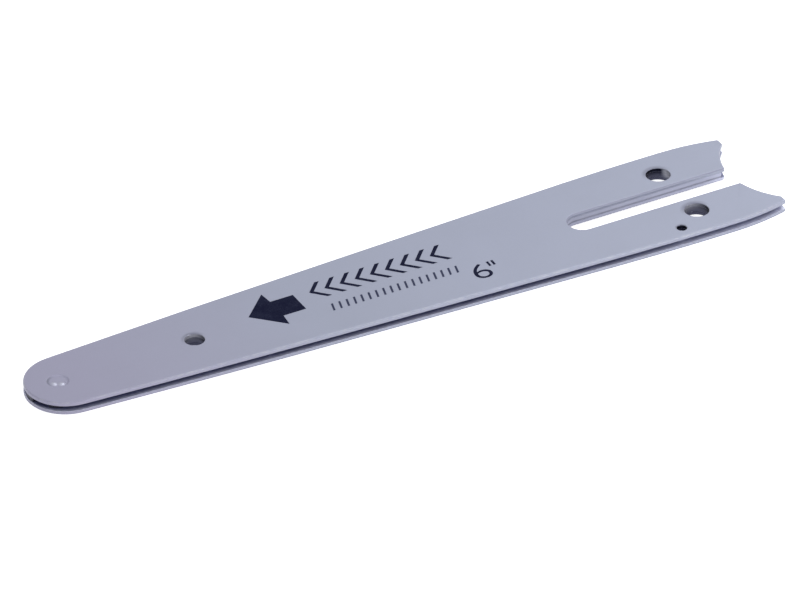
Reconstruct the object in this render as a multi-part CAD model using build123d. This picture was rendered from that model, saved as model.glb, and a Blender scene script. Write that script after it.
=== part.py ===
from build123d import *
import math
import os

# Laminated sprocket-nose guide bar for a small one-hand pruning saw, lying flat.
# X runs along the bar, from the nose at -X to the forked tail at +X. Y is across, Z is up.
# The origin is under the middle of the bar, on the face that it lies on. Millimetres.

# Length and widths
overall_length = 195.0
nose_radius = 10.15
rail_start_angle = 3.9
middle_width = 27.75
middle_from_nose = 75.0
shoulder_width = 33.4
shoulder_from_tail = 60.0
widest_width = 35.75
widest_from_tail = 20.0
tail_curve_from_tail = 15.0
tail_width = 31.9

# Three layers
side_plate_thickness = 1.0
core_thickness = 1.4
groove_depth = 4.0
rim_bevel = 0.25
hole_deburr = 0.15

# Forked tail, hollowed round the saw's drive sprocket
tail_hollow_radius = 19.6
tail_land_width = 2.13
tail_outer_corner = 0.6
tail_inner_corner = 0.6
core_tail_setback = 1.0

# Stud slot, open at the tail
slot_width = 7.3
slot_end_from_tail = 51.1
slot_mouth_corner = 0.7

# Holes
tension_hole_diameter = 6.0
tension_hole_from_tail = 21.0
tension_hole_from_rail = 8.75
oil_hole_diameter = 2.5
oil_hole_from_tail = 28.2
oil_hole_from_rail = 3.625
hang_hole_diameter = 4.8
hang_hole_from_nose = 43.25

# Nose sprocket and its bearing
sprocket_centre_from_nose = 7.9
sprocket_teeth = 6
sprocket_tip_radius = 7.6
sprocket_root_radius = 6.0
gullet_radius = 2.6
tooth_tip_round = 0.45
sprocket_side_clear = 0.05
pocket_gap = 0.6
race_outer_radius = 2.8
roller_diameter = 1.2
roller_radial_clear = 0.05
roller_gap = 0.12
roller_end_clear = 0.05
roller_end_chamfer = 0.12

# Nose rivet
rivet_shank_radius = 1.6
rivet_head_radius = 2.75
rivet_head_depth = 0.8
rivet_dent_outer_radius = 2.45
rivet_dent_inner_radius = 1.85
rivet_dent_depth = 0.18
rivet_rim_step = 0.08

# Worked-out places
nose_tip_x = -overall_length / 2
tail_end_x = overall_length / 2
core_bottom_z = side_plate_thickness
core_top_z = core_bottom_z + core_thickness
bar_top_z = core_top_z + side_plate_thickness
sprocket_x = nose_tip_x + sprocket_centre_from_nose
tail_hollow_edge_y = tail_width / 2 - tail_land_width
tail_hollow_x = tail_end_x + math.sqrt(tail_hollow_radius**2 - tail_hollow_edge_y**2)
slot_end_x = tail_end_x - slot_end_from_tail
slot_centre_x = slot_end_x + slot_width / 2
tension_hole_x = tail_end_x - tension_hole_from_tail
tension_hole_y = widest_width / 2 - tension_hole_from_rail
oil_hole_x = tail_end_x - oil_hole_from_tail
oil_hole_y = widest_width / 2 - oil_hole_from_rail
hang_hole_x = nose_tip_x + hang_hole_from_nose
roller_radius = roller_diameter / 2
roller_circle_radius = race_outer_radius + roller_radial_clear + roller_radius
sprocket_bore_radius = roller_circle_radius + roller_radius + roller_radial_clear
roller_pitch_angle = 2 * math.asin((roller_diameter + roller_gap) / (2 * roller_circle_radius))
roller_count = int(2 * math.pi / roller_pitch_angle)


def bar_outline(inset):
    """Closed outline of the bar, drawn in from its rails by the inset."""
    nose_centre_x = nose_tip_x + nose_radius
    radius = nose_radius - inset
    angle = math.radians(rail_start_angle)
    rail_start = (nose_centre_x - radius * math.sin(angle), radius * math.cos(angle))
    middle = (nose_tip_x + middle_from_nose, middle_width / 2 - inset)
    shoulder = (tail_end_x - shoulder_from_tail, shoulder_width / 2 - inset)
    widest = (tail_end_x - widest_from_tail, widest_width / 2 - inset)
    curve_start = (tail_end_x - tail_curve_from_tail, widest_width / 2 - inset)
    tail = (tail_end_x, tail_width / 2 - inset)
    rail_direction = (math.cos(angle), math.sin(angle))

    nose_tip = (nose_centre_x - radius, 0)
    nose_flank = (
        nose_centre_x - radius * math.cos(math.pi / 4 - angle / 2),
        radius * math.sin(math.pi / 4 - angle / 2),
    )
    with BuildLine() as outline:
        ThreePointArc(nose_tip, nose_flank, rail_start)
        Spline(rail_start, middle, shoulder, widest, tangents=[rail_direction, (1, 0)])
        Line(widest, curve_start)
        TangentArc(curve_start, tail, tangent=(1, 0))
        Line(tail, (tail_end_x, 0))
        mirror(about=Plane.XZ)
    return make_face(outline.line)


def slot_cut():
    """Stud slot with its round inner end, running out past the tail."""
    past_tail = tail_end_x + tail_width
    middle_x = (slot_centre_x + past_tail) / 2
    run = Pos(middle_x, 0) * Rectangle(past_tail - slot_centre_x, slot_width)
    return run + Pos(slot_centre_x, 0) * Circle(slot_width / 2)


def tail_hollow(clear):
    """Hollow at the tail that clears the saw's drive sprocket."""
    return Pos(tail_hollow_x, 0) * Circle(tail_hollow_radius + clear)


def hole_places():
    """Centre and radius of each plain hole through the bar."""
    return [
        (tension_hole_x, tension_hole_y, tension_hole_diameter / 2),
        (tension_hole_x, -tension_hole_y, tension_hole_diameter / 2),
        (oil_hole_x, -oil_hole_y, oil_hole_diameter / 2),
        (hang_hole_x, 0, hang_hole_diameter / 2),
    ]


def upright_edges(solid, x_low, y_low, y_high):
    """Upright edges beyond a place along the bar, within a band of distance from the axis."""
    return [
        edge
        for edge in solid.edges().filter_by(Axis.Z)
        if edge.center().X > x_low and y_low < abs(edge.center().Y) < y_high
    ]


def layer_with_tail(inset, hollow_clear, z_low, thickness):
    """Flat layer with the rail outline, the tail's hollow and the stud slot."""
    face = bar_outline(inset) - tail_hollow(hollow_clear) - slot_cut()
    return Pos(0, 0, z_low) * extrude(face, thickness)


def side_plate(z_low, outer_face_up):
    """Side plate with bevelled outer rims, deburred holes and a countersink for the rivet."""
    plate = layer_with_tail(0, 0, z_low, side_plate_thickness)
    split_y = tail_width / 2 - tail_land_width / 2
    mouth_x = slot_centre_x + slot_width
    plate = fillet(upright_edges(plate, tail_end_x - 0.01, split_y, tail_width), tail_outer_corner)
    plate = fillet(upright_edges(plate, tail_end_x - 0.01, slot_width, split_y), tail_inner_corner)
    plate = fillet(upright_edges(plate, mouth_x, 0, slot_width), slot_mouth_corner)
    outer_z = z_low + side_plate_thickness if outer_face_up else z_low
    rims = plate.edges().filter_by(lambda edge: abs(edge.center().Z - outer_z) < 0.001)
    plate = chamfer(rims, rim_bevel)

    for x, y, radius in hole_places():
        hole = Pos(x, y, z_low + side_plate_thickness / 2) * Cylinder(radius, 2 * side_plate_thickness)
        plate -= hole
        tip = radius + hole_deburr
        deburr = Cone(radius, tip, hole_deburr) if outer_face_up else Cone(tip, radius, hole_deburr)
        inward = -hole_deburr / 2 if outer_face_up else hole_deburr / 2
        plate -= Pos(x, y, outer_z + inward) * deburr

    return plate - rivet_blank()


def rivet_blank():
    """Solid shape that the set rivet fills: shank and two countersunk heads."""
    half = bar_top_z / 2
    with BuildSketch(Plane.XZ) as section:
        with BuildLine():
            Polyline(
                (0, 0),
                (rivet_head_radius, 0),
                (rivet_shank_radius, rivet_head_depth),
                (rivet_shank_radius, half),
                (0, half),
                close=True,
            )
        make_face()
    lower = revolve(section.sketch, Axis.Z)
    upper = Pos(0, 0, bar_top_z) * lower.mirror(Plane.XY)
    return Pos(sprocket_x, 0, 0) * (lower + upper)


def nose_rivet():
    """Set rivet, ground flush, each head dished by a ring and stepped down at its rim."""
    with BuildSketch(Plane.XZ) as dent_section:
        with BuildLine():
            Polyline(
                (rivet_dent_inner_radius, 0),
                (rivet_dent_inner_radius + rivet_dent_depth, -rivet_dent_depth),
                (rivet_dent_outer_radius - rivet_dent_depth, -rivet_dent_depth),
                (rivet_dent_outer_radius, 0),
                close=True,
            )
        make_face()
    dent = revolve(dent_section.sketch, Axis.Z)
    rim_ring = Cylinder(rivet_head_radius * 2, rivet_rim_step) - Cylinder(
        rivet_head_radius - rivet_rim_step * 2, rivet_rim_step
    )
    head_cut = dent + Pos(0, 0, -rivet_rim_step / 2) * rim_ring
    upper_cut = Pos(sprocket_x, 0, bar_top_z) * head_cut
    lower_cut = Pos(sprocket_x, 0, 0) * head_cut.mirror(Plane.XY)
    return rivet_blank() - upper_cut - lower_cut


def core_plate():
    """Middle layer, set in from the rails by the groove's depth, with the sprocket's pocket."""
    plate = layer_with_tail(groove_depth, core_tail_setback, core_bottom_z, core_thickness)
    pocket = Cylinder(sprocket_tip_radius + pocket_gap, 3 * core_thickness)
    plate -= Pos(sprocket_x, 0, core_bottom_z) * pocket
    for x, y, radius in hole_places():
        hole = Pos(x, y, core_bottom_z + core_thickness / 2)
        plate -= hole * Cylinder(radius, 2 * core_thickness)
    return plate


def nose_sprocket():
    """Star wheel that carries the chain round the nose, with the rollers' race as its bore."""
    thickness = core_thickness - 2 * sprocket_side_clear
    star = Circle(sprocket_tip_radius)
    gullet_centre = sprocket_root_radius + gullet_radius
    for place in range(sprocket_teeth):
        turn = Rot(0, 0, (place + 0.5) * 360 / sprocket_teeth)
        star -= turn * Pos(gullet_centre, 0) * Circle(gullet_radius)
    star = fillet(star.vertices(), tooth_tip_round)
    star -= Circle(sprocket_bore_radius)
    wheel = extrude(star, thickness)
    return Pos(sprocket_x, 0, core_bottom_z + sprocket_side_clear) * wheel


def nose_inner_race():
    """Hardened ring clamped between the side plates round the rivet."""
    ring = Circle(race_outer_radius) - Circle(rivet_shank_radius)
    return Pos(sprocket_x, 0, core_bottom_z) * extrude(ring, core_thickness)


def nose_roller(place):
    """One loose needle roller of the nose bearing."""
    length = core_thickness - 2 * roller_end_clear
    roller = Cylinder(roller_radius, length)
    ends = roller.edges().filter_by(GeomType.CIRCLE)
    roller = chamfer(ends, roller_end_chamfer)
    angle = place * 360 / roller_count
    middle_z = core_bottom_z + core_thickness / 2
    return Pos(sprocket_x, 0, middle_z) * Rot(0, 0, angle) * Pos(roller_circle_radius, 0, 0) * roller


parts = {
    "lower_side_plate": side_plate(0, outer_face_up=False),
    "core_plate": core_plate(),
    "upper_side_plate": side_plate(core_top_z, outer_face_up=True),
    "nose_sprocket": nose_sprocket(),
    "nose_inner_race": nose_inner_race(),
    "nose_rivet": nose_rivet(),
}
for place in range(roller_count):
    parts[f"nose_roller_{place + 1:02d}"] = nose_roller(place)

os.makedirs("parts", exist_ok=True)
for name, shape in parts.items():
    export_step(shape, f"parts/{name}.step")
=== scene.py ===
import bpy
from math import cos, pi, radians, sin
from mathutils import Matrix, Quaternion, Vector


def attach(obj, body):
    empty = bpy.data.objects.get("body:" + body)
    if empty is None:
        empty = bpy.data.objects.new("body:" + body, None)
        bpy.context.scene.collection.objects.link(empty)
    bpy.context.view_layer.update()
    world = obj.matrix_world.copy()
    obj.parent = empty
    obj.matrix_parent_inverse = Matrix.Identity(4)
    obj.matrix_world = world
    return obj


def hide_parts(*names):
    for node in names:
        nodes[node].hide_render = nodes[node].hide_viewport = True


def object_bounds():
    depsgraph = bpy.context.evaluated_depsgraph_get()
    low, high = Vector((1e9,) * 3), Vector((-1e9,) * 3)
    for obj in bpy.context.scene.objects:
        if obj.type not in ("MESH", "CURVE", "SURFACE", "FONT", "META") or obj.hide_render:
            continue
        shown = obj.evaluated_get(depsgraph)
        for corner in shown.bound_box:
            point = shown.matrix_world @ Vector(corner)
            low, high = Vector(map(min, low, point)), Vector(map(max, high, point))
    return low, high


# Small pruning saw guide bar: paint, ink, steel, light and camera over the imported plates.
# Metres, X from the nose to the forked tail, Z up. mm below is one millimetre.

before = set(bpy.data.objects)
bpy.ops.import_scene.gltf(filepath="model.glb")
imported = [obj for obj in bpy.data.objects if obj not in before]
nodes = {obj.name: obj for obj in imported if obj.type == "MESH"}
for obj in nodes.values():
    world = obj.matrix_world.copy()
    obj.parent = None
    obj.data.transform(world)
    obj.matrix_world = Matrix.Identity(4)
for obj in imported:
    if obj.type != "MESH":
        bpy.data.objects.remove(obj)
cadLow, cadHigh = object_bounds()
mm = 0.001
barLength = 195.0           # mm
rivetX = -89.6              # mm, the nose rivet's place along the bar, from the bar's middle
barTop = cadHigh.z
noseTip = -barLength / 2 * mm
print("packed bar loaded:", len(nodes), "nodes")


# Camera, low over the nose and looking along to the tail
shot = {
    "aim": (-0.0021, -0.00429, 0.0),
    "azimuth": -28.15,
    "elevation": 33.16,
    "roll": -0.75,
    "distance": 1.463,
    "lens": 278.7,
    "sensor": 36,
    "clip": (0.05, 50),
}


def placeCamera(shot):
    turn, lift = radians(shot["azimuth"]), radians(shot["elevation"])
    back = Vector((sin(turn) * cos(lift), -cos(turn) * cos(lift), sin(lift)))
    lens = bpy.data.cameras.new("barCamera")
    lens.lens = shot["lens"]
    lens.sensor_width = shot["sensor"]
    lens.clip_start, lens.clip_end = shot["clip"]
    camera = bpy.data.objects.new("barCamera", lens)
    bpy.context.collection.objects.link(camera)
    camera.location = Vector(shot["aim"]) + back * shot["distance"]
    camera.rotation_mode = "QUATERNION"
    roll = Quaternion((0, 0, 1), radians(shot["roll"]))
    camera.rotation_quaternion = back.to_track_quat("Z", "Y") @ roll
    bpy.context.scene.camera = camera


placeCamera(shot)
bpy.context.scene.view_settings.view_transform = "Standard"
print("camera placed")


# Small shader steps that the studio and the finishes share
levelOnly = (1, 1, 0)       # leaves the height out of a place


def reckon(tree, operation, first, second=0.0, clamp=False):
    node = tree.nodes.new("ShaderNodeMath")
    node.operation = operation
    node.use_clamp = clamp
    for place, value in enumerate((first, second)):
        if isinstance(value, (int, float)):
            node.inputs[place].default_value = value
        else:
            tree.links.new(value, node.inputs[place])
    return node.outputs[0]


def reckonPlace(tree, operation, place, fixed=None):
    # the same for a place, against a fixed one
    node = tree.nodes.new("ShaderNodeVectorMath")
    node.operation = operation
    tree.links.new(place, node.inputs[0])
    if fixed is not None:
        node.inputs[1].default_value = fixed
    measured = operation in ("LENGTH", "DISTANCE", "DOT_PRODUCT")
    return node.outputs["Value" if measured else "Vector"]


def highest(tree, values):
    top = values[0]
    for value in values[1:]:
        top = reckon(tree, "MAXIMUM", top, value)
    return top


def apart(tree, value, mark):
    return reckon(tree, "ABSOLUTE", reckon(tree, "SUBTRACT", value, mark))


def fade(tree, distance, reach):
    # 1 at no distance, down to 0 at the reach
    return reckon(tree, "SUBTRACT", 1.0, reckon(tree, "DIVIDE", distance, reach), True)


def ramp(tree, value, low, high):
    # 0 at the low value, 1 at the high one
    node = tree.nodes.new("ShaderNodeMapRange")
    node.inputs["From Min"].default_value = low
    node.inputs["From Max"].default_value = high
    tree.links.new(value, node.inputs["Value"])
    return node.outputs["Result"]


def millimetres(tree):
    # Object coordinates, counted in millimetres
    place = tree.nodes.new("ShaderNodeTexCoord")
    ruler = tree.nodes.new("ShaderNodeMapping")
    ruler.inputs["Scale"].default_value = (1 / mm, 1 / mm, 1 / mm)
    tree.links.new(place.outputs["Object"], ruler.inputs["Vector"])
    return ruler.outputs["Vector"]


def flatness(tree):
    # 1 on level faces, 0 on upright walls
    facing = tree.nodes.new("ShaderNodeNewGeometry")
    split = tree.nodes.new("ShaderNodeSeparateXYZ")
    tree.links.new(facing.outputs["True Normal"], split.inputs["Vector"])
    return reckon(tree, "ABSOLUTE", split.outputs["Z"])


def noise(tree, vector, scale, detail, rough):
    node = tree.nodes.new("ShaderNodeTexNoise")
    node.inputs["Detail"].default_value = detail
    node.inputs["Roughness"].default_value = rough
    tree.links.new(vector, node.inputs["Vector"])
    if isinstance(scale, (int, float)):
        node.inputs["Scale"].default_value = scale
    else:
        tree.links.new(scale, node.inputs["Scale"])
    return node.outputs["Fac"]


# Studio: white table, white surround, soft lamps
studio = {
    "tableSize": 6.0,
    "tableDrop": 0.03 * mm,     # a hair under the bar, so that the two faces don't share a plane
    "tableColour": (0.82, 0.82, 0.82, 1),
    "tableRoughness": 0.9,
    "tableSheen": 0.1,
    "tableGlow": 0.84,          # keeps the table white and its shadow faint
    "surround": 0.42,
    "surroundTint": (0.97, 0.98, 1.0),
    "lamps": [
        # name, place, size, watts, tint
        ("tailSoftbox", (0.30, 0.10, 0.42), 0.30, 1.07, (0.98, 1.0, 1.0)),
        ("overheadSoftbox", (-0.2, -0.5, 1.9), 1.6, 1.30, (1.0, 0.985, 1.0)),
        ("lowFrontSoftbox", (0.33, -0.62, 0.13), 0.35, 1.9, (1.0, 0.985, 1.0)),
        ("lowNoseSoftbox", (-0.58, -0.55, 0.11), 0.35, 0.60, (1.0, 0.965, 1.0)),
        ("smallTopLamp", (-0.09, -0.02, 0.80), 0.11, 0.13, (1.0, 1.0, 1.0)),
    ],
}


def cameraGlossGlass(tree):
    # 1 for rays that come from the eye, a mirror or glass, 0 for the light on the bar
    path = tree.nodes.new("ShaderNodeLightPath")
    either = reckon(tree, "ADD", path.outputs["Is Camera Ray"], path.outputs["Is Glossy Ray"])
    return reckon(tree, "ADD", either, path.outputs["Is Transmission Ray"], True)


def lightStudio(studio):
    world = bpy.data.worlds.new("whiteSurround")
    bpy.context.scene.world = world
    world.use_nodes = True
    tree = world.node_tree
    backdrop = tree.nodes["Background"]
    backdrop.inputs["Color"].default_value = (*studio["surroundTint"], 1)
    strength = tree.nodes.new("ShaderNodeMapRange")
    strength.inputs["To Min"].default_value = studio["surround"]
    strength.inputs["To Max"].default_value = 1.0
    tree.links.new(cameraGlossGlass(tree), strength.inputs["Value"])
    tree.links.new(strength.outputs["Result"], backdrop.inputs["Strength"])

    for name, place, size, watts, tint in studio["lamps"]:
        data = bpy.data.lights.new(name, "AREA")
        data.shape = "DISK"
        data.size = size
        data.energy = watts
        data.color = tint
        lamp = bpy.data.objects.new(name, data)
        bpy.context.collection.objects.link(lamp)
        lamp.location = place
        lamp.rotation_mode = "QUATERNION"
        lamp.rotation_quaternion = Vector(place).to_track_quat("Z", "Y")


def layTable(studio):
    bpy.ops.mesh.primitive_plane_add(size=studio["tableSize"], location=(0, 0, -studio["tableDrop"]))
    table = bpy.context.object
    table.name = "whiteTable"
    material = bpy.data.materials.new("whiteTable")
    material.use_nodes = True
    tree = material.node_tree
    paper = tree.nodes["Principled BSDF"]
    paper.inputs["Base Color"].default_value = studio["tableColour"]
    paper.inputs["Roughness"].default_value = studio["tableRoughness"]
    paper.inputs["Specular IOR Level"].default_value = studio["tableSheen"]
    paper.inputs["Emission Color"].default_value = (1, 1, 1, 1)
    glow = reckon(tree, "MULTIPLY", cameraGlossGlass(tree), studio["tableGlow"])
    tree.links.new(glow, paper.inputs["Emission Strength"])
    table.data.materials.append(material)


lightStudio(studio)
layTable(studio)
print("studio lit")


# Shader groups that the finishes share. Sizes are in mm, and each noise has its detail and roughness
def newGroup(name, takes, gives):
    # a group of plain values: its inputs with what they start at, and its outputs
    group = bpy.data.node_groups.new(name, "ShaderNodeTree")
    for label, value in takes.items():
        socket = group.interface.new_socket(label, in_out="INPUT", socket_type="NodeSocketFloat")
        socket.default_value = value
    for label in gives:
        group.interface.new_socket(label, in_out="OUTPUT", socket_type="NodeSocketFloat")
    start = group.nodes.new("NodeGroupInput")
    end = group.nodes.new("NodeGroupOutput")
    return group, start, end


grainLook = {
    "grainSize": 0.12,
    "cloudSize": 14.0,
    "grainNoise": (2.0, 0.6),
    "cloudNoise": (3.0, 0.55),
    "peelScale": 1.1,               # orange peel in the paint
    "peelNoise": (2.0, 0.5),
    "flakeHeight": 0.12,
}


def makeFlakeGrain(look):
    # fine metallic grain with broad soft clouds over it, -1 to 1 about zero
    takes = {"Grain Size": look["grainSize"], "Cloud Size": look["cloudSize"]}
    group, start, end = newGroup("flakeGrain", takes, ("Grain", "Clouds", "Height"))
    place = millimetres(group)
    fine = reckon(group, "DIVIDE", 1.0, start.outputs["Grain Size"])
    broad = reckon(group, "DIVIDE", 1.0, start.outputs["Cloud Size"])
    flakes = group.nodes.new("ShaderNodeTexVoronoi")
    group.links.new(place, flakes.inputs["Vector"])
    group.links.new(fine, flakes.inputs["Scale"])
    glint = group.nodes.new("ShaderNodeSeparateColor")
    group.links.new(flakes.outputs["Color"], glint.inputs["Color"])
    mixed = reckon(group, "ADD", glint.outputs["Red"], noise(group, place, fine, *look["grainNoise"]))
    group.links.new(reckon(group, "SUBTRACT", mixed, 1.0), end.inputs["Grain"])
    clouds = reckon(group, "SUBTRACT", noise(group, place, broad, *look["cloudNoise"]), 0.5)
    group.links.new(reckon(group, "MULTIPLY", clouds, 2.0), end.inputs["Clouds"])
    peel = noise(group, place, look["peelScale"], *look["peelNoise"])
    height = reckon(group, "ADD", reckon(group, "MULTIPLY", mixed, look["flakeHeight"]), peel)
    group.links.new(height, end.inputs["Height"])
    return group


rimWearLook = {
    "amount": 0.5,
    "patchSize": 2.0,
    "slanted": (0.97, 0.80),        # flatness at which wear sets in
    "upright": (0.05, 0.30),        # and the one at which it stops
    "patchNoise": (4.0, 0.65),
    "patchEdge": (0.42, 0.62),
    "hairTurn": 8,                  # degrees
    "hairStretch": (0.12, 3.2, 1.0),
    "hairNoise": (3.0, 0.7),
    "hairEdge": (0.66, 0.74),
}


def makeRimWear(look):
    # slanted rims between the flat faces and the walls, worn in patches as handling wears them
    takes = {"Amount": look["amount"], "Patch Size": look["patchSize"]}
    group, start, end = newGroup("rimWear", takes, ("Wear", "Scuffs"))
    place = millimetres(group)
    flat = flatness(group)
    slanted, upright = ramp(group, flat, *look["slanted"]), ramp(group, flat, *look["upright"])
    rim = reckon(group, "MULTIPLY", slanted, upright)
    patchScale = reckon(group, "DIVIDE", 1.0, start.outputs["Patch Size"])
    patches = noise(group, place, patchScale, *look["patchNoise"])
    worn = reckon(group, "MULTIPLY", rim, ramp(group, patches, *look["patchEdge"]))
    group.links.new(reckon(group, "MULTIPLY", worn, start.outputs["Amount"], True), end.inputs["Wear"])
    # hair scuffs: long thin noise along the bar
    stretch = group.nodes.new("ShaderNodeMapping")
    stretch.inputs["Rotation"].default_value = (0, 0, radians(look["hairTurn"]))
    stretch.inputs["Scale"].default_value = look["hairStretch"]
    group.links.new(place, stretch.inputs["Vector"])
    hair = noise(group, stretch.outputs["Vector"], 1.0, *look["hairNoise"])
    group.links.new(ramp(group, hair, *look["hairEdge"]), end.inputs["Scuffs"])
    return group


toolLook = {
    "pitch": 0.08,
    "wobble": 0.05,
    "wobbleScale": 1.5,
    "wobbleNoise": (2.0, 0.5),
    "gritScale": 6.0,
    "gritNoise": (4.0, 0.7),
    "tailSide": -28,                # degrees from X of the side where Side is 1
}


def makeToolLines(look):
    # rings left by turning and grinding, round the nose rivet's axis
    gives = ("Lines", "Height", "Radius", "Side")
    group, start, end = newGroup("toolLines", {"Line Pitch": look["pitch"]}, gives)
    place = millimetres(group)
    fromRivet = reckonPlace(group, "SUBTRACT", place, (rivetX, 0, 0))
    flat = reckonPlace(group, "MULTIPLY", fromRivet, levelOnly)
    reach = reckonPlace(group, "LENGTH", flat)
    wobble = noise(group, place, look["wobbleScale"], *look["wobbleNoise"])
    ringed = reckon(group, "ADD", reach, reckon(group, "MULTIPLY", wobble, look["wobble"]))
    turns = reckon(group, "DIVIDE", ringed, start.outputs["Line Pitch"])
    wave = reckon(group, "SINE", reckon(group, "MULTIPLY", turns, 2 * pi))
    grit = noise(group, place, look["gritScale"], *look["gritNoise"])
    lines = reckon(group, "MULTIPLY", wave, grit)
    group.links.new(lines, end.inputs["Lines"])
    group.links.new(reckon(group, "ADD", lines, grit), end.inputs["Height"])
    group.links.new(reach, end.inputs["Radius"])
    # 1 on the tail side of the rivet, -1 on the nose side
    turn = radians(look["tailSide"])
    along = reckonPlace(group, "DOT_PRODUCT", flat, (cos(turn), sin(turn), 0))
    group.links.new(reckon(group, "DIVIDE", along, reach), end.inputs["Side"])
    return group


# Paint on each hole's wall, made lighter than the lacquer as painted light, from one side, given in
# degrees from X, and down to a depth
holes = [
    {
        "x": 76.5, "y": 9.125, "radius": 3.0,
        "litPaintSide": 8, "litPaintRound": (0.78, 0.97), "litPaintDepth": (0.5, 2.0), "paint": 0.66,
    },
    {
        "x": 76.5, "y": -9.125, "radius": 3.0,
        "litPaintSide": 135, "litPaintRound": (-0.9, 0.9), "litPaintDepth": (0.9, 3.4), "paint": 0.75,
    },
    {
        "x": 69.3, "y": -14.25, "radius": 1.25,
        "litPaintSide": 60, "litPaintRound": (-2.0, 2.0), "litPaintDepth": (2.8, 3.4), "paint": 0.4,
    },
    {
        "x": -54.25, "y": 0.0, "radius": 2.4,
        "litPaintSide": 105, "litPaintRound": (-1.6, 1.0), "litPaintDepth": (0.9, 3.4), "paint": 0.78,
    },
]
halfWidths = [
    # from the nose, half width
    (0.0, 0.0), (0.6, 3.4), (1.6, 5.5), (3.2, 7.4), (5.2, 8.85), (7.5, 9.8), (9.5, 10.15),
    (40.0, 12.05), (75.0, 13.88), (110.0, 15.6), (135.0, 16.7), (155.0, 17.55),
    (175.0, 17.88), (180.0, 17.88), (188.0, 17.3), (195.0, 15.95),
]
wallLook = {
    "spread": 0.2,                  # how far out of a hole its wall still counts
    # flatness: a wall is below upright, a bevelled lip below slanted, a level face above level
    "upright": 0.45,
    "slanted": 0.9,
    "level": 0.8,
    "low": (2.5, 1.2),              # heights between which a wall counts as low down
    # painted shade on one side of each hole's rim, degrees from X, and out to a share of its radius
    "rimShadeSide": 100,
    "rimShadeReach": 0.4,
    "rimShadeRound": (-0.1, 1.0),
    "rimShadeAbove": 3.0,
    "slotFrom": 46.0,
    "slotHalf": 4.2,
    "run": (50.0, 96.0),            # along the slot to its mouth
    "along": (-85.0, -25.0),        # from the nose on
    "tail": (35.0, 82.0),           # towards the tail
    # seams between the layers: height, half the width that each shows, and how uneven they are
    "seamHeight": {"low": 1.3, "high": 2.76},
    "seamHalf": {"low": 0.34, "high": 0.46},
    "highSeamFade": (88.0, 76.0),     # the upper one, a dark joint with painted shade near the slot's closed end, fades out by the tail
    "seamScale": 0.35,
    "seamNoise": (2.0, 0.5),
    "seamPatches": 0.6,
    "seamLeast": 0.18,
    "arcHalf": 0.16,
    # painted light in the groove from the rail: its reach, how ragged it is, and how fast it fades
    "halfWidthTop": 20.0,
    "railReach": 2.3,
    "railPower": 1.7,
    "rag": 0.5,
    "ragScale": 0.8,
    "ragNoise": (2.0, 0.5),
    "groove": (0.85, 2.55),         # heights that the groove's faces lie between
}


def towards(group, hole, fromX, fromY, degrees):
    # how far a place lies towards one side of a hole, in radii of the hole
    turn = radians(degrees)
    alongX = reckon(group, "MULTIPLY", fromX, cos(turn) / hole["radius"])
    return reckon(group, "ADD", reckon(group, "MULTIPLY", fromY, sin(turn) / hole["radius"]), alongX)


def railCurve(group, x, look):
    # the bar's half width at each place along it
    curve = group.nodes.new("ShaderNodeFloatCurve")
    points = curve.mapping.curves[0].points
    corners = [(fromNose / barLength, half / look["halfWidthTop"]) for fromNose, half in halfWidths]
    points[0].location, points[1].location = corners[0], corners[-1]
    for corner in corners[1:-1]:
        points.new(*corner)
    curve.mapping.update()
    group.links.new(ramp(group, x, -barLength / 2, barLength / 2), curve.inputs["Value"])
    return reckon(group, "MULTIPLY", curve.outputs["Value"], look["halfWidthTop"])


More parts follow.
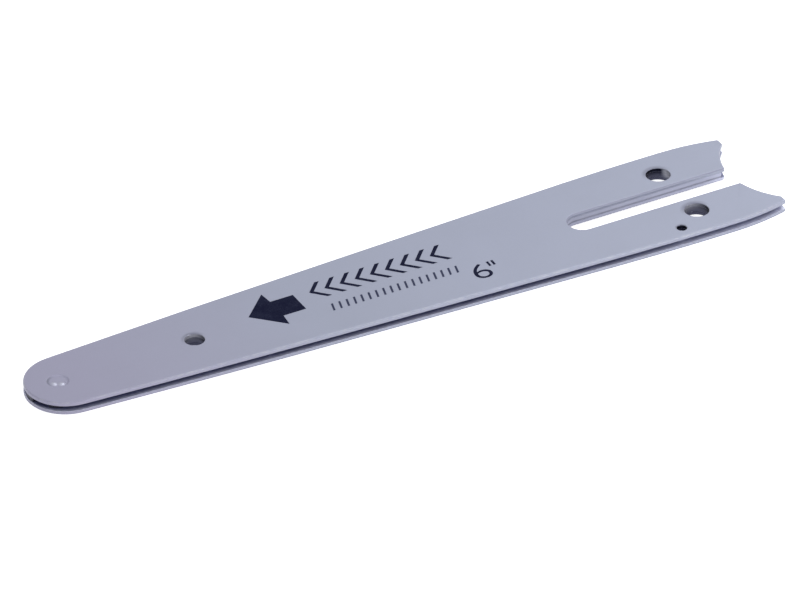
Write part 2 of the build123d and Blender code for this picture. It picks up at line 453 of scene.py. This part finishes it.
def makeCutWalls(look):
    # walls of the holes, near black and lighter low down, with paint and painted light on one side, and
    # of the slot and the groove, with their paint, painted light and painted shade
    gives = (
        "Hole", "Paint", "RimShade", "Low", "Arc", "Slot", "Run", "LipShade",
        "Along", "Tail", "Gap", "Rim", "Seam",
    )
    group, start, end = newGroup("cutWalls", {"Spread": look["spread"]}, gives)

    def give(label, value):
        group.links.new(value, end.inputs[label])

    place = millimetres(group)
    flat = flatness(group)
    upright = reckon(group, "LESS_THAN", flat, look["upright"])
    spot = group.nodes.new("ShaderNodeSeparateXYZ")
    group.links.new(place, spot.inputs["Vector"])
    x, y, z = spot.outputs["X"], spot.outputs["Y"], spot.outputs["Z"]
    aside = reckon(group, "ABSOLUTE", y)

    # each hole: its wall, the part of the wall with paint and painted light, and the painted shade on its
    # rim
    walls, caughtPaintAndLight, rimShades = [], [], []
    for hole in holes:
        fromX = reckon(group, "SUBTRACT", x, hole["x"])
        fromY = reckon(group, "SUBTRACT", y, hole["y"])
        squares = [reckon(group, "MULTIPLY", way, way) for way in (fromX, fromY)]
        fromMiddle = reckon(group, "SQRT", reckon(group, "ADD", *squares))
        reach = reckon(group, "SUBTRACT", fromMiddle, hole["radius"])
        wall = reckon(group, "LESS_THAN", reach, start.outputs["Spread"])
        walls.append(wall)
        side = towards(group, hole, fromX, fromY, hole["litPaintSide"])
        depth = ramp(group, z, *hole["litPaintDepth"])
        paint = reckon(group, "MULTIPLY", ramp(group, side, *hole["litPaintRound"]), depth)
        caughtPaintAndLight.append(reckon(group, "MULTIPLY", reckon(group, "MULTIPLY", paint, wall), hole["paint"]))
        back = towards(group, hole, fromX, fromY, look["rimShadeSide"])
        inward = ramp(group, reach, hole["radius"] * look["rimShadeReach"], 0.0)
        rimShades.append(reckon(group, "MULTIPLY", inward, ramp(group, back, *look["rimShadeRound"])))
    paintedAndLit = reckon(group, "MULTIPLY", highest(group, caughtPaintAndLight), upright)
    give("Paint", paintedAndLit)
    wholeWall = reckon(group, "MULTIPLY", highest(group, walls), upright)
    give("Hole", reckon(group, "SUBTRACT", wholeWall, paintedAndLit))
    notWall = reckon(group, "GREATER_THAN", flat, look["upright"])
    onTop = reckon(group, "MULTIPLY", notWall, reckon(group, "GREATER_THAN", z, look["rimShadeAbove"]))
    give("RimShade", reckon(group, "MULTIPLY", highest(group, rimShades), onTop))
    give("Low", ramp(group, z, *look["low"]))

    # the slot's wall and its bevelled lip, and how far along the bar a place lies
    byAxis = reckon(group, "LESS_THAN", aside, look["slotHalf"])
    inSlot = reckon(group, "MULTIPLY", reckon(group, "GREATER_THAN", x, look["slotFrom"]), byAxis)
    slotWall = reckon(group, "MULTIPLY", inSlot, upright)
    give("Slot", slotWall)
    slanted = reckon(group, "SUBTRACT", reckon(group, "LESS_THAN", flat, look["slanted"]), upright)
    give("LipShade", reckon(group, "MULTIPLY", inSlot, slanted))
    give("Run", ramp(group, x, *look["run"]))
    give("Along", ramp(group, x, *look["along"]))
    give("Tail", ramp(group, x, *look["tail"]))

    # the two seams between the layers in the slot's wall, and the thin arc of light in a hole's
    fromSeam = {name: apart(group, z, height) for name, height in look["seamHeight"].items()}
    give("Arc", fade(group, fromSeam["high"], look["arcHalf"]))
    lowSeam = fade(group, fromSeam["low"], look["seamHalf"]["low"])
    highSeam = fade(group, fromSeam["high"], look["seamHalf"]["high"])
    highSeam = reckon(group, "MULTIPLY", highSeam, ramp(group, x, *look["highSeamFade"]))
    patches = noise(group, place, look["seamScale"], *look["seamNoise"])
    patches = reckon(group, "MULTIPLY", patches, look["seamPatches"])
    uneven = reckon(group, "MULTIPLY", slotWall, reckon(group, "ADD", patches, look["seamLeast"], True))
    give("Seam", reckon(group, "MULTIPLY", highest(group, (lowSeam, highSeam)), uneven))

    # nearness to the rail
    fromRail = reckon(group, "SUBTRACT", railCurve(group, x, look), aside)
    rag = reckon(group, "MULTIPLY", noise(group, place, look["ragScale"], *look["ragNoise"]), look["rag"])
    nearRail = fade(group, reckon(group, "ADD", fromRail, rag), look["railReach"])
    give("Rim", reckon(group, "POWER", nearRail, look["railPower"]))

    # faces that look into the groove, between the two outer plates
    low, high = look["groove"]
    above, below = reckon(group, "GREATER_THAN", z, low), reckon(group, "LESS_THAN", z, high)
    level = reckon(group, "GREATER_THAN", flat, look["level"])
    give("Gap", reckon(group, "MULTIPLY", reckon(group, "MULTIPLY", above, below), level))
    return group


flakeGrain = makeFlakeGrain(grainLook)
rimWear = makeRimWear(rimWearLook)
toolLines = makeToolLines(toolLook)
cutWalls = makeCutWalls(wallLook)
print("shader groups built")


# Finishes. In each, shade, rough, metal and the like say how much a varying value adds
solidViewGrey = (0.5, 0.5, 0.55, 1)


def newMaterial(name):
    material = bpy.data.materials.new(name)
    material.use_nodes = True
    material.diffuse_color = solidViewGrey
    return material, material.node_tree, material.node_tree.nodes["Principled BSDF"]


def placeGroup(tree, group, values):
    node = tree.nodes.new("ShaderNodeGroup")
    node.node_tree = group
    for label, value in values.items():
        node.inputs[label].default_value = value
    return node


def varying(*placed):
    # the outputs of the placed groups, each under its label
    return {socket.name: socket for node in placed for socket in node.outputs}


def shift(tree, base, over, amounts):
    # base value plus each named varying value times its amount
    total = base
    for label, amount in amounts.items():
        total = reckon(tree, "ADD", reckon(tree, "MULTIPLY", over[label], amount), total)
    return total


def tinted(tree, colour, brightness):
    # the colour, lighter or darker over the surface
    node = tree.nodes.new("ShaderNodeVectorMath")
    node.operation = "SCALE"
    if isinstance(colour, tuple):
        node.inputs[0].default_value = colour
    else:
        tree.links.new(colour, node.inputs[0])
    tree.links.new(brightness, node.inputs["Scale"])
    return node.outputs["Vector"]


def blendColour(tree, factor, first, second):
    node = tree.nodes.new("ShaderNodeMix")
    node.data_type = "RGBA"
    tree.links.new(factor, node.inputs["Factor"])
    for socket, value in ((node.inputs["A"], first), (node.inputs["B"], second)):
        if isinstance(value, tuple):
            socket.default_value = (*value, 1)
        else:
            tree.links.new(value, socket)
    return node.outputs["Result"]


def bump(tree, height, strength, distance):
    node = tree.nodes.new("ShaderNodeBump")
    node.inputs["Strength"].default_value = strength
    node.inputs["Distance"].default_value = distance
    tree.links.new(height, node.inputs["Height"])
    return node.outputs["Normal"]


def wire(tree, shader, values):
    for label, value in values.items():
        tree.links.new(value, shader.inputs[label])


# walls of the round holes, in the plates and in the core
holeWalls = {
    # near black high up, lighter low down
    "colour": (0.006, 0.0065, 0.016),
    "lowColour": (0.066, 0.068, 0.106),
    "arcColour": (0.150, 0.155, 0.200),
    # paint with painted light on part of a hole's wall, lighter than the lacquer
    "paintAndLightColour": (0.780, 0.790, 0.880),
    "spread": 0.13,                 # mm
}
lacquer = {
    "colour": (0.352, 0.374, 0.476),
    "noseColour": (0.357, 0.349, 0.468),
    "wornColour": (0.50, 0.51, 0.56),
    # painted shade on one side of the holes' rims
    "rimShadeColour": (0.175, 0.182, 0.248),
    # painted shade on the slot's bevelled lip
    "lipShadeColour": (0.285, 0.293, 0.385),
    # painted light on the slot's wall, low down and towards its mouth
    "lowSlotLitColour": (0.440, 0.452, 0.580),
    "mouthLitColour": (0.580, 0.595, 0.745),
    "seamColour": (0.060, 0.062, 0.110),
    # groove: dark faces, partly their own finish and partly painted shade, and painted light near the
    # rail and the tail
    "grooveDarkAndShadeColour": (0.140, 0.148, 0.290),
    "grooveLightColour": (0.800, 0.820, 0.960),
    "grain": {"Grain Size": 0.11},
    "wear": {"Amount": 0.55},
    "shade": {"Grain": 0.05, "Clouds": 0.035, "Scuffs": 0.03},
    "grooveLightStart": -0.05,
    "grooveLight": {"Tail": 0.26, "Rim": 1.40},
    "roughness": 0.46,
    "rough": {"Grain": 0.05, "Clouds": 0.05, "Wear": -0.12, "Scuffs": -0.05},
    "metallic": 0.30,
    "bump": (0.5, 0.012 * mm),      # strength, distance
}


def silverLacquer(lacquer):
    material, tree, shader = newMaterial("silverLacquer")
    grain = placeGroup(tree, flakeGrain, lacquer["grain"])
    wear = placeGroup(tree, rimWear, lacquer["wear"])
    walls = placeGroup(tree, cutWalls, {"Spread": holeWalls["spread"]})
    over = varying(grain, wear, walls)
    tone = blendColour(tree, over["Along"], lacquer["noseColour"], lacquer["colour"])
    paint = tinted(tree, tone, shift(tree, 1.0, over, lacquer["shade"]))
    worn = blendColour(tree, over["Wear"], paint, lacquer["wornColour"])
    # painted shade on one side of each hole's rim
    rimShaded = blendColour(tree, over["RimShade"], worn, lacquer["rimShadeColour"])
    # painted shade on the slot's bevelled lip
    lipShaded = blendColour(tree, over["LipShade"], rimShaded, lacquer["lipShadeColour"])
    # painted light on the slot's wall: lighter low down and towards its mouth
    slotPaintAndLight = blendColour(tree, over["Run"], lacquer["lowSlotLitColour"], lacquer["mouthLitColour"])
    lowSlotLight = reckon(tree, "MULTIPLY", over["Slot"], over["Low"])
    slotLightened = blendColour(tree, lowSlotLight, lipShaded, slotPaintAndLight)
    seamed = blendColour(tree, over["Seam"], slotLightened, lacquer["seamColour"])
    # the groove's faces dark, partly their own finish and partly painted shade, with painted light over
    # them close to the rail and by the tail
    grooveLightSum = shift(tree, lacquer["grooveLightStart"], over, lacquer["grooveLight"])
    grooveLight = reckon(tree, "ADD", grooveLightSum, 0.0, True)
    grooveShadeAndLight = blendColour(tree, grooveLight, lacquer["grooveDarkAndShadeColour"], lacquer["grooveLightColour"])
    gap = blendColour(tree, over["Gap"], seamed, grooveShadeAndLight)
    # paint and painted light on part of each hole's wall
    caughtPaintAndLight = blendColour(tree, over["Paint"], gap, holeWalls["paintAndLightColour"])
    holeWallTone = blendColour(tree, over["Low"], holeWalls["colour"], holeWalls["lowColour"])
    wire(tree, shader, {
        "Base Color": blendColour(tree, over["Hole"], caughtPaintAndLight, holeWallTone),
        "Roughness": shift(tree, lacquer["roughness"], over, lacquer["rough"]),
        "Metallic": shift(tree, lacquer["metallic"], over, {"Hole": 1 - lacquer["metallic"]}),
        "Normal": bump(tree, grain.outputs["Height"], *lacquer["bump"]),
    })
    return material


core = {
    "colour": (0.170, 0.178, 0.275),
    "oilColour": (0.030, 0.031, 0.055),
    "mistColour": (0.400, 0.411, 0.520),
    # painted light towards the slot's mouth
    "mouthLitColour": (0.490, 0.505, 0.640),
    "grain": {"Grain Size": 0.2, "Cloud Size": 3.5},
    "shade": {"Grain": 0.12},
    "oil": 0.9,
    # painted light on the groove by the tail
    "tailLight": 0.60,
    "mistStart": 0.93,
    "mistAndTailLight": {"Clouds": 0.10},
    "arc": 0.6,
    "roughness": 0.5,
    "rough": {"Clouds": -0.12, "Grain": 0.08},
    "metallic": 0.35,
    "bump": (0.6, 0.03 * mm),
}


def grooveSteel(core):
    material, tree, shader = newMaterial("grooveSteel")
    grain = placeGroup(tree, flakeGrain, core["grain"])
    walls = placeGroup(tree, cutWalls, {"Spread": holeWalls["spread"]})
    over = varying(grain, walls)
    steel = tinted(tree, core["colour"], shift(tree, 1.0, over, core["shade"]))
    oily = reckon(tree, "MULTIPLY", over["Clouds"], core["oil"], True)
    stained = blendColour(tree, oily, steel, core["oilColour"])
    # paint on the slot's wall, and painted light on the groove by the tail
    mistAndTailLight = highest(tree, (over["Slot"], reckon(tree, "MULTIPLY", over["Tail"], core["tailLight"])))
    mistAndTailLight = reckon(tree, "MULTIPLY", mistAndTailLight, shift(tree, core["mistStart"], over, core["mistAndTailLight"]), True)
    # paint on the slot's wall, lighter towards its mouth as painted light
    slotPaintAndLight = blendColour(tree, over["Run"], core["mistColour"], core["mouthLitColour"])
    paintedAndLit = blendColour(tree, mistAndTailLight, stained, slotPaintAndLight)
    seamed = blendColour(tree, over["Seam"], paintedAndLit, core["oilColour"])
    # paint and painted light on part of each hole's wall
    caughtPaintAndLight = blendColour(tree, over["Paint"], seamed, holeWalls["paintAndLightColour"])
    holeWallTone = blendColour(tree, over["Low"], holeWalls["colour"], holeWalls["lowColour"])
    arc = reckon(tree, "MULTIPLY", over["Arc"], core["arc"])
    arced = blendColour(tree, arc, holeWallTone, holeWalls["arcColour"])
    wire(tree, shader, {
        "Base Color": blendColour(tree, over["Hole"], caughtPaintAndLight, arced),
        "Roughness": shift(tree, core["roughness"], over, core["rough"]),
        "Metallic": shift(tree, core["metallic"], over, {"Hole": 1 - core["metallic"]}),
        "Normal": bump(tree, grain.outputs["Height"], *core["bump"]),
    })
    return material


turning = {
    "grain": {"Grain Size": 0.3, "Cloud Size": 4.0},
    "shade": {"Lines": 0.10, "Clouds": 0.12},
    "rough": {"Lines": 0.06, "Clouds": 0.08},
    "metallic": 0.9,
    "bumpStrength": 0.6,
    "parts": {
        # name: colour, roughness, line pitch in mm, line depth
        "sprocketSteel": ((0.045, 0.045, 0.060), 0.42, 0.16, 0.006 * mm),
        "bearingSteel": ((0.52, 0.52, 0.54), 0.24, 0.07, 0.002 * mm),
    },
}


def turnedSteel(name, turning):
    colour, roughness, pitch, depth = turning["parts"][name]
    material, tree, shader = newMaterial(name)
    lines = placeGroup(tree, toolLines, {"Line Pitch": pitch})
    over = varying(placeGroup(tree, flakeGrain, turning["grain"]), lines)
    shader.inputs["Metallic"].default_value = turning["metallic"]
    wire(tree, shader, {
        "Base Color": tinted(tree, colour, shift(tree, 1.0, over, turning["shade"])),
        "Roughness": shift(tree, roughness, over, turning["rough"]),
        "Normal": bump(tree, lines.outputs["Height"], turning["bumpStrength"], depth),
    })
    return material


rivetFinish = {
    "colour": (0.357, 0.349, 0.468),
    # painted shade in the rivet's set ring
    "ringShadeColour": (0.185, 0.188, 0.255),
    # painted highlight on the two prong marks
    "glintColour": (0.500, 0.510, 0.610),
    "grain": {"Grain Size": 0.14, "Cloud Size": 1.6},
    "wear": {"Amount": 0.5, "Patch Size": 0.7},
    "linePitch": 0.09,
    # the set ring, darkened with painted shade: its radius, the shade in its middle, and the loss for
    # each mm
    "ringRadius": 2.40,
    "ringShadeMiddle": 1.25,
    "ringLoss": 2.6,
    # how much painted shade lies on the ring's nose side and tail side, and how closely
    "noseSide": -1.0,
    "tailSide": 0.45,
    "sidePower": 2.2,
    # place on the bar and reach of each painted highlight, in mm, and the share of it at full brightness
    "glintSpots": [((-90.90, -0.60), 1.0), ((-89.40, -1.50), 1.0)],
    "glintFull": 0.25,
    "shade": {"Grain": 0.05, "Clouds": 0.05},
    "roughness": 0.30,
    "rough": {"Clouds": 0.08, "Wear": -0.08, "Ring": 0.35, "Bright": 0.20},
    "metallic": 0.45,
    "metal": {"RingShade": -0.30, "Bright": 0.05},
    "bump": (0.5, 0.01 * mm),
}


def rivetLacquer(finish):
    material, tree, shader = newMaterial("rivetLacquer")
    grain = placeGroup(tree, flakeGrain, finish["grain"])
    wear = placeGroup(tree, rimWear, finish["wear"])
    rings = placeGroup(tree, toolLines, {"Line Pitch": finish["linePitch"]})
    over = varying(rings, wear, grain)
    paint = tinted(tree, finish["colour"], shift(tree, 1.0, over, finish["shade"]))
    worn = blendColour(tree, over["Wear"], paint, lacquer["wornColour"])
    # painted shade in the set ring, on the sides of it that look along the bar
    away = apart(tree, over["Radius"], finish["ringRadius"])
    loss = reckon(tree, "MULTIPLY", away, finish["ringLoss"])
    over["Ring"] = reckon(tree, "SUBTRACT", finish["ringShadeMiddle"], loss, True)
    noseward = reckon(tree, "MULTIPLY", over["Side"], finish["noseSide"], True)
    tailward = reckon(tree, "MULTIPLY", over["Side"], finish["tailSide"], True)
    side = reckon(tree, "POWER", highest(tree, (noseward, tailward)), finish["sidePower"])
    over["RingShade"] = reckon(tree, "MULTIPLY", over["Ring"], side, True)
    ringShaded = blendColour(tree, over["RingShade"], worn, finish["ringShadeColour"])
    # painted highlights on the two prong marks
    flat = reckonPlace(tree, "MULTIPLY", millimetres(tree), levelOnly)
    spots = []
    for (x, y), reach in finish["glintSpots"]:
        fromSpot = reckonPlace(tree, "DISTANCE", flat, (x, y, 0))
        spots.append(ramp(tree, fromSpot, reach, reach * finish["glintFull"]))
    over["Bright"] = highest(tree, spots)
    wire(tree, shader, {
        "Base Color": blendColour(tree, over["Bright"], ringShaded, finish["glintColour"]),
        "Roughness": shift(tree, finish["roughness"], over, finish["rough"]),
        "Metallic": shift(tree, finish["metallic"], over, finish["metal"]),
        "Normal": bump(tree, grain.outputs["Height"], *finish["bump"]),
    })
    return material


ink = {
    "boldColour": (0.0062, 0.0077, 0.0284),
    "fineColour": (0.055, 0.062, 0.110),
    "thinColour": (0.060, 0.067, 0.118),
    "grain": {"Grain Size": 0.16, "Cloud Size": 2.5},
    "thinStart": 0.10,
    "thin": {"Grain": 0.30, "Clouds": 0.30},
    "roughness": 0.75,
    "rough": {"Grain": 0.10, "Clouds": 0.06},
    "sheen": 0.04,
    "bump": (0.4, 0.008 * mm),
}


def printInk(name, colour, ink):
    material, tree, shader = newMaterial(name)
    grain = placeGroup(tree, flakeGrain, ink["grain"])
    over = varying(grain)
    thin = reckon(tree, "ADD", shift(tree, ink["thinStart"], over, ink["thin"]), 0.0, True)
    shader.inputs["Specular IOR Level"].default_value = ink["sheen"]
    wire(tree, shader, {
        "Base Color": blendColour(tree, thin, colour, ink["thinColour"]),
        "Roughness": shift(tree, ink["roughness"], over, ink["rough"]),
        "Normal": bump(tree, grain.outputs["Height"], *ink["bump"]),
    })
    return material


paint = silverLacquer(lacquer)
coreSteel = grooveSteel(core)
turned = {name: turnedSteel(name, turning) for name in turning["parts"]}
rivetPaint = rivetLacquer(rivetFinish)
inkBold = printInk("boldInk", ink["boldColour"], ink)
inkFine = printInk("fineInk", ink["fineColour"], ink)
print("finishes mixed")


# Small modelling helpers
joining = {"gap": 0.001 * mm, "angle": 0.3}     # degrees, below which loose triangles make one face


def only(piece):
    bpy.ops.object.select_all(action="DESELECT")
    piece.select_set(True)
    bpy.context.view_layer.objects.active = piece


def finishPiece(piece, name, material, body):
    only(piece)
    bpy.ops.object.transform_apply(location=True, rotation=True, scale=True)
    piece.name = name
    piece.data.name = name
    piece.data.materials.clear()
    piece.data.materials.append(material)
    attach(piece, body)


def mergedCopy(nodeName, newName):
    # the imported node's own shape, with its loose triangles joined into clean faces
    copy = bpy.data.objects.new(newName, nodes[nodeName].data.copy())
    bpy.context.collection.objects.link(copy)
    only(copy)
    bpy.ops.object.mode_set(mode="EDIT")
    bpy.ops.mesh.select_all(action="SELECT")
    bpy.ops.mesh.remove_doubles(threshold=joining["gap"])
    bpy.ops.mesh.dissolve_limited(angle_limit=radians(joining["angle"]))
    bpy.ops.mesh.select_all(action="DESELECT")
    bpy.ops.object.mode_set(mode="OBJECT")
    return copy


# Plates: same outline and holes, every sharp edge rolled a little
rolling = {
    "segments": 2,
    "sharpFrom": 20,                # degrees
    "smoothUpTo": 40,
    "flatWeight": 100,
    "plates": {
        # node: new name, width of the roll, slot, body, finish
        "upper_side_plate": ("upperSidePlate", 0.08 * mm, "silver_paint", "bar", paint),
        "lower_side_plate": ("lowerSidePlate", 0.08 * mm, "silver_paint", "bar", paint),
        "core_plate": ("corePlate", 0.06 * mm, "core_steel", "bar", coreSteel),
        "nose_sprocket": (
            "noseSprocket", 0.06 * mm, "sprocket_steel", "sprocket", turned["sprocketSteel"],
        ),
    },
}


def rollEdges(piece, width):
    bevel = piece.modifiers.new("rolledEdge", "BEVEL")
    bevel.width = width
    bevel.segments = rolling["segments"]
    bevel.limit_method = "ANGLE"
    bevel.angle_limit = radians(rolling["sharpFrom"])
    bevel.use_clamp_overlap = True
    only(piece)
    bpy.ops.object.modifier_apply(modifier="rolledEdge")
    bpy.ops.object.shade_smooth_by_angle(angle=radians(rolling["smoothUpTo"]))
    weighted = piece.modifiers.new("flatFaces", "WEIGHTED_NORMAL")
    weighted.keep_sharp = True
    weighted.weight = rolling["flatWeight"]
    bpy.ops.object.modifier_apply(modifier="flatFaces")


for nodeName, (newName, width, slot, body, finish) in rolling["plates"].items():
    plate = mergedCopy(nodeName, newName)
    rollEdges(plate, width)
    finishPiece(plate, newName, finish, body)
    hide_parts(nodeName)
    print("plate rolled:", newName, len(plate.data.polygons), "faces")


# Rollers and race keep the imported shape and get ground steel
for name, node in nodes.items():
    if name.startswith("nose_roller") or name == "nose_inner_race":
        node.data.materials.clear()
        node.data.materials.append(turned["bearingSteel"])
print("bearing steel on the race and rollers")


# Nose rivet: set flush, with the ring that the setting tool leaves round the middle. Sizes in mm
rivet = {
    "sides": 96,
    "shaft": 1.6,                   # radius
    "coneDepth": 0.8,
    # radius and depth below the face, from the rim in to the dish
    "rim": [
        (2.74, 0.03), (2.68, 0.012), (2.62, 0.016), (2.54, 0.04),
        (2.44, 0.08), (2.34, 0.12), (2.24, 0.15), (2.14, 0.165),
    ],
    # radii of the rings in the flat dish, close enough to shape the prong marks
    "dishRings": [
        2.04, 1.94, 1.84, 1.74, 1.64, 1.54, 1.44, 1.34, 1.24, 1.14, 1.04, 0.94,
        0.82, 0.68, 0.52, 0.36, 0.18,
    ],
    "dish": 0.17,
    # the setting punch's two prong marks: place from the centre, reach and height
    "prongs": [((-1.36, -0.46), 1.00, 0.25), ((0.25, -1.30), 1.00, 0.25)],
    "endFaces": 0.9,                # faces whose normals look along the rivet more than this
    "smoothUpTo": 50,               # degrees
}


def raiseHead(rivet, side, middle):
    # countersunk cone up to the rim, then ring after ring in to the middle
    radius, depth = rivet["shaft"], rivet["coneDepth"]
    rings = rivet["rim"] + [(ringRadius, rivet["dish"]) for ringRadius in rivet["dishRings"]]
    for nextRadius, nextDepth in rings:
        rise = side * (depth - nextDepth) * mm
        bpy.ops.mesh.extrude_region_move(TRANSFORM_OT_translate={"value": (0, 0, rise)})
        scale = nextRadius / radius
        bpy.ops.transform.resize(value=(scale, scale, 1), center_override=middle)
        radius, depth = nextRadius, nextDepth


def makeRivet(rivet):
    middle = (rivetX * mm, 0, barTop / 2)
    bpy.ops.mesh.primitive_cylinder_add(
        vertices=rivet["sides"],
        radius=rivet["shaft"] * mm,
        depth=barTop - 2 * rivet["coneDepth"] * mm,
        location=middle,
    )
    piece = bpy.context.object
    only(piece)
    bpy.ops.object.mode_set(mode="EDIT")
    bpy.ops.mesh.select_mode(type="FACE")
    for side in (1, -1):
        bpy.ops.mesh.select_all(action="DESELECT")
        bpy.ops.object.mode_set(mode="OBJECT")
        for face in piece.data.polygons:
            face.select = face.normal.z * side > rivet["endFaces"]
        bpy.ops.object.mode_set(mode="EDIT")
        raiseHead(rivet, side, middle)
    for (x, y), reach, height in rivet["prongs"]:
        bpy.ops.mesh.select_mode(type="VERT")
        bpy.ops.mesh.select_all(action="DESELECT")
        bpy.ops.object.mode_set(mode="OBJECT")
        place = Vector((rivetX * mm + x * mm, y * mm, barTop - rivet["dish"] * mm))
        corners = piece.data.vertices
        nearest = min(corners, key=lambda corner: (corner.co + piece.location - place).length)
        nearest.select = True
        bpy.ops.object.mode_set(mode="EDIT")
        bpy.ops.transform.translate(
            value=(0, 0, height * mm),
            use_proportional_edit=True,
            proportional_edit_falloff="SMOOTH",
            proportional_size=reach * mm,
        )
    bpy.ops.mesh.select_all(action="DESELECT")
    bpy.ops.object.mode_set(mode="OBJECT")
    bpy.ops.object.shade_smooth_by_angle(angle=radians(rivet["smoothUpTo"]))
    return piece


noseRivet = makeRivet(rivet)
finishPiece(noseRivet, "noseRivet", rivetPaint, "bar")
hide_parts("nose_rivet")
print("rivet set:", len(noseRivet.data.polygons), "faces")


# Marks on the upper face: a plain arrow, a row of chevrons, short dashes, and the size in inches
marks = {
    # x from the nose, y from the axis, in mm
    "thickness": 0.006 * mm,
    "slack": 0.1,                   # how near its place a corner has to be to be picked
    "arrow": {
        "shaftFrom": 66.0, "shaftTo": 72.0, "middle": 2.1, "shaftWidth": 6.8,
        "barb": 0.4, "headWidth": 14.4, "headLength": 7.1,
    },
    # rows: the first one's left end, the step to the next, and each one's own size
    "chevrons": {
        "start": 78.9, "pitch": 4.05, "count": 9,
        "width": 1.25, "low": 1.0, "high": 7.8, "reach": 3.1,
    },
    "dashes": {
        "start": 77.2, "pitch": 1.95, "count": 18,
        "width": 0.55, "low": -5.2, "high": -2.3, "lean": 0.8,
    },
    "strokes": {
        "start": 118.4, "pitch": 1.2, "count": 2,
        "width": 0.62, "low": -6.4, "high": -4.4, "lean": 0.12,
    },
    "number": "6",
    "numberFrom": (113.5, -10.5),
    "numberTo": (117.9, -4.3),
    "numberThinning": -0.008,
    "numberDepth": 0.5,             # as typed, before it is scaled to the ink's thickness
}


def inkPatch(left, right, low, high):
    # a flat patch on the upper face, left in edit mode
    middle = (noseTip + (left + right) / 2 * mm, (low + high) / 2 * mm, barTop)
    bpy.ops.mesh.primitive_plane_add(size=mm, location=middle)
    piece = bpy.context.object
    piece.scale = (right - left, high - low, 1)
    only(piece)
    bpy.ops.object.transform_apply(location=True, rotation=True, scale=True)
    bpy.ops.object.mode_set(mode="EDIT")
    bpy.ops.mesh.select_mode(type="VERT")
    return piece


def pick(piece, wanted):
    # selects corners by their place, in mm from the nose and from the axis
    bpy.ops.mesh.select_all(action="DESELECT")
    bpy.ops.object.mode_set(mode="OBJECT")
    for corner in piece.data.vertices:
        corner.select = wanted((corner.co.x - noseTip) / mm, corner.co.y / mm)
    bpy.ops.object.mode_set(mode="EDIT")


def raiseInk(piece):
    # gives the patch its thickness
    bpy.ops.mesh.select_all(action="SELECT")
    bpy.ops.mesh.extrude_region_move(TRANSFORM_OT_translate={"value": (0, 0, marks["thickness"])})
    bpy.ops.mesh.select_all(action="SELECT")
    bpy.ops.mesh.normals_make_consistent(inside=False)
    bpy.ops.object.mode_set(mode="OBJECT")
    return piece


def makeArrow(arrow):
    half = arrow["shaftWidth"] / 2
    low, high = arrow["middle"] - half, arrow["middle"] + half
    piece = inkPatch(arrow["shaftFrom"], arrow["shaftTo"], low, high)
    # the shaft's nose end is drawn out to the head's back, and that to the tip
    pick(piece, lambda x, y: x < arrow["shaftFrom"] + marks["slack"])
    bpy.ops.mesh.extrude_region_move(TRANSFORM_OT_translate={"value": (-arrow["barb"] * mm, 0, 0)})
    centre = (0, arrow["middle"] * mm, barTop)
    spread = arrow["headWidth"] / arrow["shaftWidth"]
    bpy.ops.transform.resize(value=(1, spread, 1), center_override=centre)
    bpy.ops.mesh.extrude_region_move(TRANSFORM_OT_translate={"value": (-arrow["headLength"] * mm, 0, 0)})
    bpy.ops.mesh.merge(type="CENTER")
    return raiseInk(piece)


def makeChevron(row):
    # an upright bar whose middle is drawn out towards the nose
    piece = inkPatch(row["start"], row["start"] + row["width"], row["low"], row["high"])
    bpy.ops.mesh.select_all(action="SELECT")
    bpy.ops.mesh.subdivide(number_cuts=1)
    middle = (row["low"] + row["high"]) / 2
    pick(piece, lambda x, y: abs(y - middle) < marks["slack"])
    bpy.ops.transform.translate(value=(-row["reach"] * mm, 0, 0))
    return raiseInk(piece)


def makeDash(row):
    # an upright bar whose far end is drawn along the rail
    piece = inkPatch(row["start"], row["start"] + row["width"], row["low"], row["high"])
    middle = (row["low"] + row["high"]) / 2
    pick(piece, lambda x, y: y > middle)
    bpy.ops.transform.translate(value=(row["lean"] * mm, 0, 0))
    return raiseInk(piece)


def printRow(name, first, row, material):
    # the first one, then copies along the bar, each with its own mesh
    for count in range(1, row["count"]):
        copy = bpy.data.objects.new(name, first.data.copy())
        bpy.context.collection.objects.link(copy)
        copy.location.x = count * row["pitch"] * mm
        finishPiece(copy, f"{name}.{count + 1:02d}", material, "bar")
    finishPiece(first, f"{name}.01", material, "bar")


finishPiece(makeArrow(marks["arrow"]), "directionArrow", inkBold, "bar")
printRow("chevron", makeChevron(marks["chevrons"]), marks["chevrons"], inkBold)
printRow("shortDash", makeDash(marks["dashes"]), marks["dashes"], inkFine)
printRow("inchStroke", makeDash(marks["strokes"]), marks["strokes"], inkBold)


def printNumber(marks):
    bpy.ops.object.text_add(location=(0, 0, 0))
    piece = bpy.context.object
    piece.data.body = marks["number"]
    piece.data.extrude = marks["numberDepth"]
    piece.data.offset = marks["numberThinning"]
    only(piece)
    bpy.ops.object.convert(target="MESH")
    piece = bpy.context.object
    corners = [corner.co for corner in piece.data.vertices]
    low = [min(corner[axis] for corner in corners) for axis in range(3)]
    high = [max(corner[axis] for corner in corners) for axis in range(3)]
    start, stop = marks["numberFrom"], marks["numberTo"]
    size = ((stop[0] - start[0]) * mm, (stop[1] - start[1]) * mm, marks["thickness"])
    scale = [size[axis] / (high[axis] - low[axis]) for axis in range(3)]
    place = (noseTip + start[0] * mm, start[1] * mm, barTop)
    piece.scale = scale
    piece.location = [place[axis] - low[axis] * scale[axis] for axis in range(3)]
    finishPiece(piece, "sizeNumber", inkBold, "bar")


printNumber(marks)
print("marks printed")
